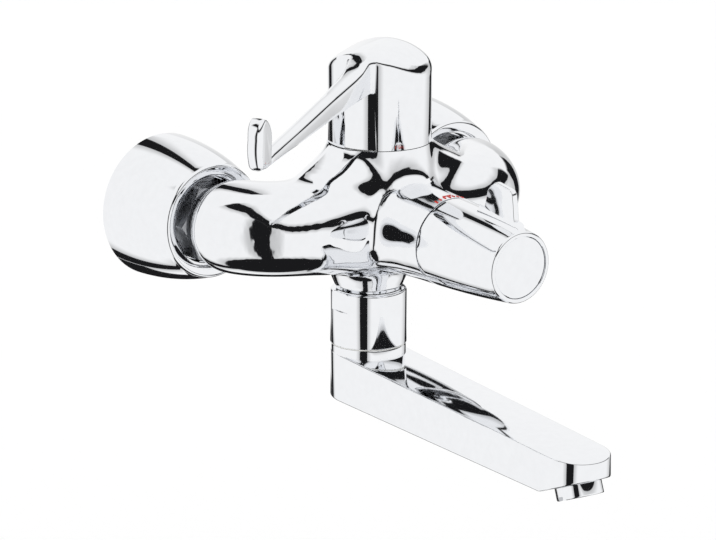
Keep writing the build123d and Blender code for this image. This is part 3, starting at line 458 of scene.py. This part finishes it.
# Casting
def inlet_run(side):
    """Pipe from an inlet to the middle of the bar: oval rings drawn out round its bend and along X."""
    bend = 33.0
    face = 47.0
    x = side * INLET_X
    pivot = (x - side * bend, -face)
    round_the_bend = [
        (0, 17.9, 17.9), (3, 19.8, 19.8), (6, 21.5, 21.5), (10, 22.8, 22.7), (15, 23.6, 23.3),
        (22, 24.0, 23.5), (30, 24.5, 23.5), (40, 25.1, 23.5), (50, 25.7, 23.5), (60, 26.2, 23.5),
        (70, 26.5, 23.6), (80, 26.6, 24.0), (90, 26.5, 24.8)]
    along_the_bar = [(35, 26.4, 25.8), (28, 26.6, 26.8), (14, 27.6, 28.1), (-1, 28.2, 28.5)]
    rings = []
    for angle, half_width, half_height in round_the_bend:
        t = math.radians(angle)
        along, forward = pivot[0] + side * bend * math.cos(t), pivot[1] - bend * math.sin(t)
        rings.append((along, forward, angle, half_width, half_height))
    for out, half_width, half_height in along_the_bar:
        rings.append((side * out, -face - bend, 90, half_width, half_height))
    x0, y0, angle0, wide0, high0 = rings[0]
    run = start(bpy.ops.mesh.primitive_circle_add, "inlet_run", vertices=96, radius=wide0 * MM,
                fill_type="NOTHING", location=mm(x0, y0, UNION_OFFSET), rotation=(FRONT, 0, 0))
    put(run, NOWHERE)
    edit(run)
    for x1, y1, angle1, wide1, high1 in rings[1:]:
        here = mm(x1, y1, UNION_OFFSET)
        bpy.ops.mesh.extrude_region_move(TRANSFORM_OT_translate={"value": mm(x1 - x0, y1 - y0, 0)})
        further = side * math.radians(angle1 - angle0)
        bpy.ops.transform.rotate(value=further, orient_axis="Z", center_override=here)
        wider = wide1 / wide0
        bpy.ops.transform.resize(value=(wider, wider, high1 / high0), center_override=here)
        x0, y0, angle0, wide0, high0 = x1, y1, angle1, wide1, high1
    bpy.ops.mesh.select_all(action="SELECT")
    bpy.ops.mesh.fill_holes(sides=0)
    bpy.ops.mesh.select_all(action="SELECT")
    bpy.ops.mesh.normals_make_consistent(inside=False)
    leave()
    return run


def casting():
    """Runs, necks, saddle, web and boss melted into one skin and softened, as a cast surface is."""
    lumps = [inlet_run(-1), inlet_run(1)]
    lumps.append(turned("neck", [(0, -10), (25.7, -10), (25.7, 46), (0, 46)], CAP, 96))
    saddle = [
        (-20, 20, 17), (-8, 34, 23), (4, 42, 25.5), (14, 47, 25.5), (20, 49, 24.5), (24, 48.5, 23),
        (26.5, 45, 22), (28.5, 40.5, 21.5), (31, 36, 21.5), (34, 31, 22), (NECK_TOP, 27.2, 23),
        (42, 24.5, 24)]
    web = [
        (-20, 24, 24), (-8, 26, 32), (7, 26.5, 33), (15, 26.3, 31), (23, 26, 29), (30, 25.8, 27.3),
        (37, 25.7, 25.8), (46, 25.6, 25.5)]
    for name, rings in (("saddle", saddle), ("web", web)):
        half = [(wide, z) for z, wide, deep in rings]
        lump = turned(name, [(0, rings[0][0])] + half + [(0, rings[-1][0])], CAP, 96)
        edit(lump)
        for z, wide, deep in rings:
            pick(lump, lambda p: abs(p.z - UNION_OFFSET - z) < 0.1)
            middle = mm(0, CAP_Y, UNION_OFFSET + z)
            bpy.ops.transform.resize(value=(1.0, deep / wide, 1.0), center_override=middle)
        leave()
        lumps.append(lump)
    knob_neck = [(0, -52), (27.5, -52), (25.2, -40), (23.2, -22), (22.5, -8), (22.3, 8), (0, 8)]
    lumps.append(turned("knob_neck", knob_neck, KNOB, 96))
    boss = [
        (0, -48), (15.9, -48), (15.9, -39.4), (18.5, -35.2), (18.9, -33), (21.5, -27), (26, -20), (26, -8),
        (0, -8)]
    lumps.append(turned("boss", boss, STEM, 96))
    body = joined("body_shell", *lumps)
    apply(body, "REMESH", mode="VOXEL", voxel_size=CASTING_GRAIN, adaptivity=0.0)
    apply(body, "SMOOTH", factor=0.5, iterations=CASTING_SOFTENING)
    apply(body, "SUBSURF", levels=1, render_levels=1)
    for side in (-1, 1):
        sliced(body, facing(side * INLET_X, CASTING_BACK_Y, UNION_OFFSET, 0.0), keep_below=False)
    return body


body = casting()
sliced(body, CAP @ standing(0, 0, NECK_TOP))
sliced(body, KNOB)
sliced(body, STEM @ standing(0, 0, BOSS_TIP), keep_below=False)
dress(body, CHROME, "fixture", "chrome", "body_casting")


# Lever handle
SKIRT_R = 25.75
COVE = 3.6
EDGE = 2.6
ROOT_HALF = 5.9
COVE_CENTRE = (math.sqrt((SKIRT_R + COVE) ** 2 - (ROOT_HALF + COVE) ** 2), ROOT_HALF + COVE)
COVE_TOUCH = tuple(c * SKIRT_R / (SKIRT_R + COVE) for c in COVE_CENTRE)
SKIRT_FOOT = 37.55
HOLLOW_R = 23.3
DOME_PEAK_R = -8
DOME_SIDE_R = 32.8
DOME_FRONT_R = 267.2
DOME_FRONT_Z = -213.0
DOME_BACK_LESS = 14.9
DOME_BACK_Z = 69.1
UNDERSIDE_Z = 66.7
UNDERSIDE_FROM = 28
UNDERSIDE_FALL = 0.0797


def dome_height(r, s):
    """Height of the dome over a point r along the lever and s across it."""
    across = math.sqrt(DOME_SIDE_R ** 2 - s * s)
    past_peak = r - DOME_PEAK_R
    if past_peak > 0:
        return DOME_FRONT_Z + math.sqrt(max((DOME_FRONT_R + across) ** 2 - past_peak ** 2, 0))
    reach = max(across - DOME_BACK_LESS, 0)
    return DOME_BACK_Z + math.sqrt(max(reach ** 2 - past_peak ** 2, 0))


def arm_height(r, s):
    """Height of the arm's top, gently hollowed along its length and crowned across it."""
    line = [(10, 85.6), (26, 82.2), (42, 78.0), (66, 73.6), (100, 68.2), (138, 62.7), (160, 59.6)]
    for (r0, z0), (r1, z1) in zip(line, line[1:]):
        if r <= r1:
            break
    return z0 + (z1 - z0) * (r - r0) / (r1 - r0) - s * s / 30


def side_of_arm():
    """Half plan of the arm: round the cove where it leaves the skirt, then out to the tab."""
    start_angle = math.atan2(COVE_TOUCH[1] - COVE_CENTRE[1], COVE_TOUCH[0] - COVE_CENTRE[0])
    swing = -math.pi / 2 - start_angle
    cove = [(COVE_CENTRE[0] + COVE * math.cos(start_angle + swing * i / 8),
             COVE_CENTRE[1] + COVE * math.sin(start_angle + swing * i / 8)) for i in range(1, 9)]
    return cove + [(34, 5.57), (44, 5.16), (55, 4.70), (66, 4.25), (90, 4.11), (115, 3.97), (146.5, 3.8)]


def away_from(line, spot):
    """Distance from a point to the nearest stretch of a line of points."""
    nearest = 1000.0
    for a, b in zip(line, line[1:]):
        foot, share = intersect_point_line(spot, Vector(a), Vector(b))
        nearest = min(nearest, (spot - Vector(a).lerp(Vector(b), min(max(share, 0), 1))).length)
    return nearest


def to_the_edge(r, s, side):
    """How far a point of the handle's plan lies inside its outline."""
    if abs(math.atan2(s, r)) > math.atan2(COVE_TOUCH[1], COVE_TOUCH[0]):
        return max(SKIRT_R - math.hypot(r, s), 0)
    return away_from([COVE_TOUCH] + side, Vector((r, abs(s))))


def soft_drop(radius, inset):
    """How far a round edge has fallen away at an inset from its outline."""
    inside = radius - min(inset, radius)
    return radius - math.sqrt(radius ** 2 - inside ** 2)


def handle_height(r, s, side):
    """Dome run into the arm, with a soft edge all round."""
    blend = min(max((r - 20.0) / 16.0, 0), 1)
    blend = blend * blend * (3 - 2 * blend)
    top = dome_height(r, s) * (1 - blend) + arm_height(r, s) * blend
    return top - soft_drop(EDGE, to_the_edge(r, s, side))


def handle():
    """Plan of the cap and the arm drawn up, gridded, lifted to the dome and the arm's back, and hollowed."""
    side = side_of_arm()
    swing = math.atan2(COVE_TOUCH[1], COVE_TOUCH[0])
    count = 150
    turns = [swing + (2 * math.pi - 2 * swing) * i / count for i in range(count + 1)]
    round_part = [(SKIRT_R * math.cos(t), SKIRT_R * math.sin(t)) for t in turns]
    plan = list(reversed(side)) + round_part + [(r, -s) for r, s in side]
    top = slab("handle_top", plan, 60, 61, NOWHERE, flat="XY")
    edit(top)
    bpy.ops.mesh.bisect(plane_co=mm(0, 0, 60.5), plane_no=(0, 0, 1))
    pick(top, lambda p: p.z > 60.99, "FACE")
    for width in (0.25, 0.35, 0.5, 0.6, 0.9):
        bpy.ops.mesh.inset(thickness=width * MM, depth=0)
    grid = [-24.5 + 1.75 * i for i in range(29)]
    along_the_arm = [28, 30, 32, 34, 36, 38, 41, 44, 50, 55, 60, 66, 72, 80, 90, 100, 110, 120, 130, 138]
    for r in grid + along_the_arm:
        bpy.ops.mesh.select_all(action="SELECT")
        bpy.ops.mesh.bisect(plane_co=mm(r, 0, 0), plane_no=(1, 0, 0))
    for s in grid:
        bpy.ops.mesh.select_all(action="SELECT")
        bpy.ops.mesh.bisect(plane_co=mm(0, s, 0), plane_no=(0, 1, 0))
    mesh = bmesh.from_edit_mesh(top.data)
    for v in mesh.verts:
        r, s, z = v.co / MM
        if z > 60.9:
            v.co.z = handle_height(r, s, side) * MM
        elif z > 60.1:
            v.co.z = (handle_height(r, s, side) - 0.6) * MM
        elif math.hypot(r, s) < SKIRT_R + 0.02 and r < COVE_TOUCH[0] + 0.05:
            v.co.z = SKIRT_FOOT * MM
        else:
            v.co.z = (UNDERSIDE_Z - UNDERSIDE_FALL * (r - UNDERSIDE_FROM)) * MM
    bmesh.update_edit_mesh(top.data)
    leave()
    put(top, LEVER)
    cut(top, turned("hollow", [(0, 30), (HOLLOW_R, 30), (HOLLOW_R, 72), (20, 77), (0, 77)], CAP, 192))
    rounded(top, 0.3, 2, 40)
    skirt = turned("skirt", [(25.7, 38.0), (25.7, 66.4), (23.4, 66.4), (23.4, 37.7)], CAP, 192)
    return joined("handle", top, skirt)


def end_tab():
    """Upright tab at the arm's end, shaped like a thumb."""
    outline = arc((142.4, 66.5), (144.7, 77.8), (150.0, 81.2), 14)
    outline += arc((150.0, 81.2), (154.2, 78.2), (156.0, 71.5), 10)[1:]
    outline += arc((156.0, 71.5), (156.4, 64.0), (155.0, 58.8), 8)[1:]
    outline += arc((155.0, 58.8), (153.2, 56.4), (150.4, 56.0), 6)[1:]
    outline += [(147.6, 56.5), (143.4, 57.4), (142.35, 58.6)]
    half = 3.9
    tab = slab("tab", outline, -half, half, NOWHERE)
    edit(tab)
    pick(tab, lambda p: abs(abs(p.y) - half) < 0.01, "FACE")
    for width in (0.2, 0.3, 0.5, 0.6, 0.7, 0.9):
        bpy.ops.mesh.inset(thickness=width * MM, depth=0)
    mesh = bmesh.from_edit_mesh(tab.data)
    for v in mesh.verts:
        r, s, z = v.co / MM
        outward = min(max((r - 146.5) / 4.5, 0), 1)
        upward = min(max((z - 74) / 10, 0), 1)
        radius = 0.8 + 2.4 * outward * outward * (3 - 2 * outward) * (1 - upward)
        drop = soft_drop(radius, away_from(outline + outline[:1], Vector((r, z))))
        v.co.y = math.copysign(half - drop, s) * MM
    bmesh.update_edit_mesh(tab.data)
    leave()
    return put(tab, LEVER)


lever = joined("lever_piece", handle(), end_tab())
dress(lever, CHROME, "lever", "chrome", "lever_handle")


# Temperature knob
FIN_HALF = 1.75


def knob_skin():
    """Tapered skin with a rounded foot and a broad front rim, open behind for its adapter."""
    rim = 54.0
    skin = arc((22.0, 0.9), (20.5, 27), (18.0, 52.6), 24)
    edge = arc((18.0, 52.6), (17.75, 53.5), (17.0, rim), 6)
    profile = [(19.0, 0.4), (21.6, 0.4), (21.9, 0.55)] + skin + edge[1:] + [
        (15.75, rim), (15.62, 53.85), (15.6, 53.2), (15.0, 52.0), (15.0, 34), (16.5, 30), (19.0, 4)]
    return turned("knob_skin", profile, KNOB, 192)


def fin():
    """Wing plate, its edges rounded."""
    side = [(24.5, 14), (26.6, 24.0), (28.0, 30.5)] + arc((28.2, 31.3), (29.6, 34.6), (32.4, 37.0), 6)
    side += arc((33.6, 38.0), (34.6, 38.5), (35.8, 38.5), 3) + [(44.6, 37.5)]
    side += arc((45.2, 37.4), (47.2, 36.4), (48.0, 34.6), 5) + [(48.9, 30.0)]
    side += arc((49.3, 26.5), (50.6, 20.6), (53.4, 15.5), 8) + [(53.4, 14)]
    plate = slab("fin", side, -FIN_HALF, FIN_HALF, NOWHERE)
    on_edge = Matrix(((0, -1, 0, 0), (0, 0, 1, 0), (1, 0, 0, 0), (0, 0, 0, 1)))
    put(plate, KNOB @ on_edge)
    return rounded(plate, 0.8, 3, 40)


def fin_root():
    """Coves that carry the wing down onto the knob, following its taper."""
    half, cove, low_r = 1.7, 5.5, 20.6
    centre = (half + cove, math.sqrt((low_r + cove) ** 2 - (half + cove) ** 2))
    touch = (centre[0] * low_r / (low_r + cove), centre[1] * low_r / (low_r + cove))
    a0 = math.atan2(touch[1] - centre[1], touch[0] - centre[0]) % (2 * math.pi)
    side = [(centre[0] + cove * math.cos(a0 + (math.pi - a0) * i / 10),
             centre[1] + cove * math.sin(a0 + (math.pi - a0) * i / 10)) for i in range(11)]
    buried = touch[1] - 2.0
    section = [(touch[0], buried)] + side + [(-x, y) for x, y in reversed(side)] + [(-touch[0], buried)]
    root = slab("fin_root", section, 23.0, 23.2, NOWHERE, flat="XY")
    edit(root)
    pick(root, lambda p: p.z > 23.1, "FACE")
    sizes = [(23.2, 20.6), (34.0, 19.95), (44.0, 19.1), (50.0, 18.4), (52.6, 18.0), (53.6, 17.6)]
    for (z0, r0), (z1, r1) in zip(sizes, sizes[1:]):
        bpy.ops.mesh.extrude_region_move(TRANSFORM_OT_translate={"value": mm(0, 0, z1 - z0)})
        bpy.ops.transform.resize(value=(r1 / r0, r1 / r0, 1), center_override=mm(0, 0, z1))
    bpy.ops.mesh.select_all(action="SELECT")
    bpy.ops.mesh.normals_make_consistent(inside=False)
    leave()
    return put(root, KNOB)


knob = joined("knob_piece", knob_skin(), fin(), fin_root())
dress(knob, CHROME, "knob", "chrome", "temperature_knob")

disc = [
    (0, 52.6), (15.2, 52.6), (15.4, 52.8), (15.4, 53.3), (15.2, 53.5), (14.7, 53.6), (8.0, 53.8), (0, 53.86)]
face = turned("knob_face", disc, KNOB, 160)
dress(face, CHROME, "knob", "chrome", "knob_cap")


# Temperature marks
def mark(name, turn, low, high, wide, radius):
    """Thin printed dash that follows the neck or the knob round its axis."""
    dash = start(bpy.ops.mesh.primitive_cube_add, name, size=MM, scale=(wide, 0.3, high - low))
    round_the_axis = Matrix.Rotation(math.radians(turn), 4, "Z")
    return put(dash, KNOB @ round_the_axis @ standing(0, radius, (low + high) / 2))


figures = []
for step in range(7):
    reach = -1.7 if step % 3 else -1.2
    figures.append(mark("scale_mark", -21 + 7 * step, -3.6, reach, 0.7, 22.36))
figures.append(mark("scale_line", 0, -4.6, -4.2, 5.2, 22.33))
dress(joined("temperature_scale", *figures), SCALE_RED, "fixture", None)
dress(mark("index_mark", 0, 3.2, 6.4, 0.9, 21.62), INDEX_GREY, "knob", None)


# Spout connector and spout
def connector():
    """Drum with two spanner flats and the spigot that the spout turns on."""
    profile = [(7, -67.3), (DRUM_R, -67.3), (19.1, -66.9), (19.1, -40.9)]
    profile += arc((19.1, -40.9), (DRUM_R, -39.9), (17.7, -39.5), 4)
    profile += [(10.4, -39.5), (10.4, -29.0), (7, -29.0)]
    drum = turned("connector", profile, STEM, 160)
    for side in (-1, 1):
        beside = mm(side * 28.0, STEM_Y, UNION_OFFSET - 39.3)
        block = start(bpy.ops.mesh.primitive_cube_add, "flat", size=MM, location=beside, scale=(20, 60, 20))
        put(block, NOWHERE)
        cut(drum, block)
    low = turned("spigot", [(7, -85), (10.2, -85), (10.5, -84.7), (10.5, -67.0), (7, -67.0)], STEM, 96)
    return rounded(joined("connector_piece", drum, low), 0.35, 2, 40)


dress(connector(), CHROME, "fixture", "chrome", "spout_connector")


def spout():
    """Tapering plan drawn up, then cut to the sloping top, the sloping underside and the bevel."""
    root, tip, tip_y = 18.9, 17.4, -233.4
    turns = [math.pi * i / 48 for i in range(49)]
    back = [(root * math.cos(t), STEM_Y + root * math.sin(t)) for t in turns]
    front = [(-tip * math.cos(t), tip_y - tip * math.sin(t)) for t in turns]
    body = slab("spout_piece", back + front, -125, -60, standing(0, 0, UNION_OFFSET), flat="XY")
    top = standing(0, STEM_Y, UNION_OFFSET - 71.6) @ Matrix.Rotation(math.radians(5.4), 4, "X")
    sliced(body, top)
    under = standing(0, STEM_Y, UNION_OFFSET + SPOUT_FOOT) @ Matrix.Rotation(SPOUT_FALL, 4, "X")
    sliced(body, under, keep_below=False)
    bevel = AERATOR @ Matrix.Rotation(math.pi, 4, "X")
    sliced(body, bevel, keep_below=False)
    rounded(body, 0.9, 4, 15)
    collar = [(10.6, -75), (DRUM_R, -75), (DRUM_R, -68.6), (18.4, -68.0), (10.6, -68.0)]
    return joined("spout_piece", body, turned("collar", collar, STEM, 160))


dress(spout(), CHROME, "spout", "chrome", "spout_casting")


def aerator():
    """Ring that screws into the spout, with a spanner slot on each side."""
    outer = 11.6
    profile = [(8.5, -6), (10.4, -6), (10.4, 0.0), (11.3, 0.0), (outer, 0.3), (outer, 5.9)]
    profile += arc((outer, 5.9), (11.4, 6.4), (10.9, 6.6), 4) + [(7.6, 6.6), (7.6, 5.8), (8.5, 5.8)]
    shell = turned("aerator_piece", profile, AERATOR, 128)
    for side in (-1, 1):
        notch = start(bpy.ops.mesh.primitive_cube_add, "notch", size=MM, scale=(3.0, 5.0, 3.2))
        put(notch, AERATOR @ standing(side * outer, 0, 6.2))
        cut(shell, notch)
    return shell


dress(aerator(), CHROME, "spout", "chrome", "aerator_housing")


# Studio
def floor_finish():
    """Matt white paper; the camera sees it a little lighter than its light alone makes it."""
    material = bpy.data.materials.new("studio_floor")
    material.use_nodes = True
    tree = material.node_tree
    shader = tree.nodes["Principled BSDF"]
    shader.inputs["Base Color"].default_value = (0.93, 0.93, 0.93, 1)
    shader.inputs["Roughness"].default_value = 0.9
    shader.inputs["Specular IOR Level"].default_value = 0.1
    shader.inputs["Emission Color"].default_value = (1, 1, 1, 1)
    rays = tree.nodes.new("ShaderNodeLightPath")
    lift = tree.nodes.new("ShaderNodeMath")
    lift.operation = "MULTIPLY"
    lift.inputs[1].default_value = 0.08
    tree.links.new(rays.outputs["Is Camera Ray"], lift.inputs[0])
    tree.links.new(lift.outputs["Value"], shader.inputs["Emission Strength"])
    return material


def calculate(tree, operation, *values):
    """One sum on sockets and plain numbers."""
    node = tree.nodes.new("ShaderNodeMath")
    node.operation = operation
    for slot, value in enumerate(values):
        if isinstance(value, (int, float)):
            node.inputs[slot].default_value = value
        else:
            tree.links.new(value, node.inputs[slot])
    return node.outputs["Value"]


def step_up(tree, value, low, high):
    """Runs smoothly from 0 at low to 1 at high."""
    node = tree.nodes.new("ShaderNodeMapRange")
    node.interpolation_type = "SMOOTHSTEP"
    node.inputs["From Min"].default_value = low
    node.inputs["From Max"].default_value = high
    tree.links.new(value, node.inputs["Value"])
    return node.outputs["Result"]


def between(tree, value, low, high, fade):
    """1 from low to high, gone a fade further out."""
    rise = step_up(tree, value, low - fade, low)
    fall = step_up(tree, value, high, high + fade)
    return calculate(tree, "SUBTRACT", rise, fall)


# Strength of the painted soft shade beside the painted reflection bands.
PAINTED_SHADE_SHARE = 0.38


def painted_reflection_finish():
    """Painted reflections: dark bands where a white tent's panels would stop, with painted soft shade beside
    them, that only polished metal sees; clear elsewhere.

    Turn is the bearing in degrees, 0 towards the user and + to the right, and rise the height in degrees.
    """
    material = bpy.data.materials.new("painted_reflection_bands")
    material.use_nodes = True
    tree = material.node_tree
    n = tree.nodes
    link = tree.links.new
    n.remove(n["Principled BSDF"])
    where = n.new("ShaderNodeTexCoord")
    unit = n.new("ShaderNodeVectorMath")
    unit.operation = "NORMALIZE"
    link(where.outputs["Object"], unit.inputs[0])
    parts = n.new("ShaderNodeSeparateXYZ")
    link(unit.outputs["Vector"], parts.inputs["Vector"])
    degrees = 180 / math.pi
    forward = calculate(tree, "MULTIPLY", parts.outputs["Y"], -1)
    turn = calculate(tree, "MULTIPLY", calculate(tree, "ARCTAN2", parts.outputs["X"], forward), degrees)
    rise = calculate(tree, "MULTIPLY", calculate(tree, "ARCSINE", parts.outputs["Z"]), degrees)
    to_the_left = calculate(tree, "SUBTRACT", 1, step_up(tree, turn, -90, -15))
    lifted = calculate(tree, "MULTIPLY", to_the_left, 42)
    ring = calculate(tree, "SUBTRACT", rise, lifted)
    in_front = between(tree, turn, -118, 99, 5)
    low_down = calculate(tree, "SUBTRACT", 1, step_up(tree, ring, 10, 14))
    level = calculate(tree, "SUBTRACT", 1, step_up(tree, rise, 10, 14))
    behind = between(tree, rise, -45, -17.5, 2)
    above = between(tree, rise, 27, 66, 3)
    # Painted reflection: dark bands set by direction, seen only in polished metal.
    dark = calculate(tree, "MAXIMUM", calculate(tree, "MULTIPLY", between(tree, ring, 11, 24, 1.2), in_front),
                     between(tree, rise, -95, -63, 2))
    # Painted shade: a soft grey fade beside each painted band.
    painted_shade = calculate(tree, "MAXIMUM", calculate(tree, "MULTIPLY", between(tree, ring, 11, 24, 9), in_front),
                     between(tree, rise, -95, -63, 9))
    # Painted bands: from turn, to turn, fade of the painted shade beside it, and where it reaches.
    painted_bands = ((-63, -41, 14, low_down), (106, 122, 30, level), (172, 190, 14, level),
            (-190, -172, 14, level), (116, 170, 20, behind), (155, 167, 12, above))
    for low, high, fade, reach in painted_bands:
        strip = calculate(tree, "MULTIPLY", between(tree, turn, low, high, 1.2), reach)
        dark = calculate(tree, "MAXIMUM", dark, strip)
        soft = calculate(tree, "MULTIPLY", between(tree, turn, low, high, fade), reach)
        painted_shade = calculate(tree, "MAXIMUM", painted_shade, soft)
    cover = calculate(tree, "MAXIMUM", dark, calculate(tree, "MULTIPLY", painted_shade, PAINTED_SHADE_SHARE))
    clear = n.new("ShaderNodeBsdfTransparent")
    # Near-black emission that paints the dark reflections.
    dark_reflection = n.new("ShaderNodeEmission")
    dark_reflection.inputs["Color"].default_value = (0.012, 0.012, 0.013, 1)
    mixed = n.new("ShaderNodeMixShader")
    link(cover, mixed.inputs["Fac"])
    link(clear.outputs["BSDF"], mixed.inputs[1])
    link(dark_reflection.outputs["Emission"], mixed.inputs[2])
    link(mixed.outputs["Shader"], n["Material Output"].inputs["Surface"])
    return material


def studio():
    """White tent of plain soft light, painted dark reflections that only polished metal shows, and a pale
    floor.
    """
    world = bpy.data.worlds.new("studio_tent")
    bpy.context.scene.world = world
    world.use_nodes = True
    back = world.node_tree.nodes["Background"]
    back.inputs["Color"].default_value = (1, 1, 1, 1)
    back.inputs["Strength"].default_value = 1.0
    floor = start(bpy.ops.mesh.primitive_plane_add, "floor", size=6.0, location=(0, -0.1, -0.30))
    floor.data.materials.append(floor_finish())
    floor.visible_glossy = False
    # Sphere seen only by glossy rays: it paints dark reflections into polished metal and blocks no light.
    painted_reflections = start(bpy.ops.mesh.primitive_uv_sphere_add, "painted_reflections", segments=96, ring_count=48, radius=12.0)
    painted_reflections.data.materials.append(painted_reflection_finish())
    painted_reflections.visible_camera = False
    painted_reflections.visible_diffuse = False
    painted_reflections.visible_shadow = False
    painted_reflections.visible_transmission = False


PICTURE_WIDTH = 716
FOCAL_PIXELS = 7000


def photographer():
    """Camera at the photograph's angle, far off with a long lens."""
    data = bpy.data.cameras.new("camera")
    data.sensor_width = 36
    data.lens = FOCAL_PIXELS * data.sensor_width / PICTURE_WIDTH
    data.clip_end = 50
    camera = bpy.data.objects.new("camera", data)
    bpy.context.scene.collection.objects.link(camera)
    bearing = Matrix.Rotation(math.radians(-37.83), 4, "Z")
    pitch = Matrix.Rotation(math.radians(90 - 14.81), 4, "X")
    roll = Matrix.Rotation(math.radians(0.18), 4, "Z")
    spot = Matrix.Translation(mm(-2066.11, -2723.54, 857.80 + UNION_OFFSET))
    camera.matrix_world = spot @ bearing @ pitch @ roll
    bpy.context.scene.camera = camera


studio()
photographer()
bpy.context.scene.view_settings.view_transform = "Standard"
